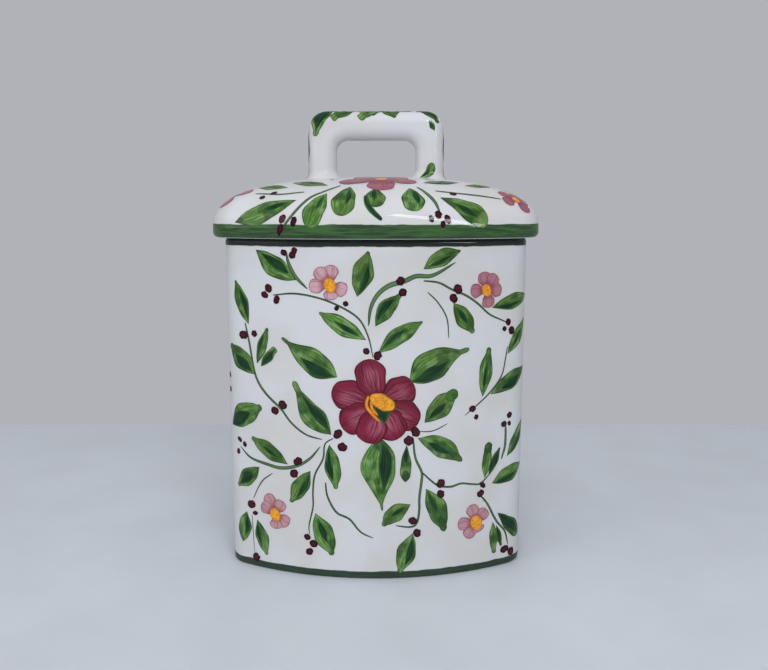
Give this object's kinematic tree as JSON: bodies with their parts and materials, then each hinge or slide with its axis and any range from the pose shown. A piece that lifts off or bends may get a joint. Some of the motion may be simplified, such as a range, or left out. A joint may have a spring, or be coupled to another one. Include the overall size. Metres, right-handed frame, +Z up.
{
  "type": "biscuit jar",
  "caption": "Bow-fronted ceramic biscuit jar with a domed lift-off lid, a square loop handle and painted flowers, leaves and green bands.",
  "frame": {"origin": "middle of the plane that the foot ring stands on", "axes": "+Z up, +X to the right of someone who faces the front bow, front bow towards -Y"},
  "size_m": [0.151, 0.109, 0.215],
  "materials": {
    "body_glaze": "gloss",
    "lid_glaze": "gloss",
    "handle_glaze": "gloss"
  },
  "bodies": {
    "jar": {"jar_body": "body_glaze"},
    "lid": {"lid": "lid_glaze", "lid_handle": "handle_glaze"}
  },
  "joints": [
    {"name": "lid_lift", "type": "slide", "parent": "jar", "child": "lid", "axis": [0, 0, 1], "range_m": [0, 0.06]}
  ]
}
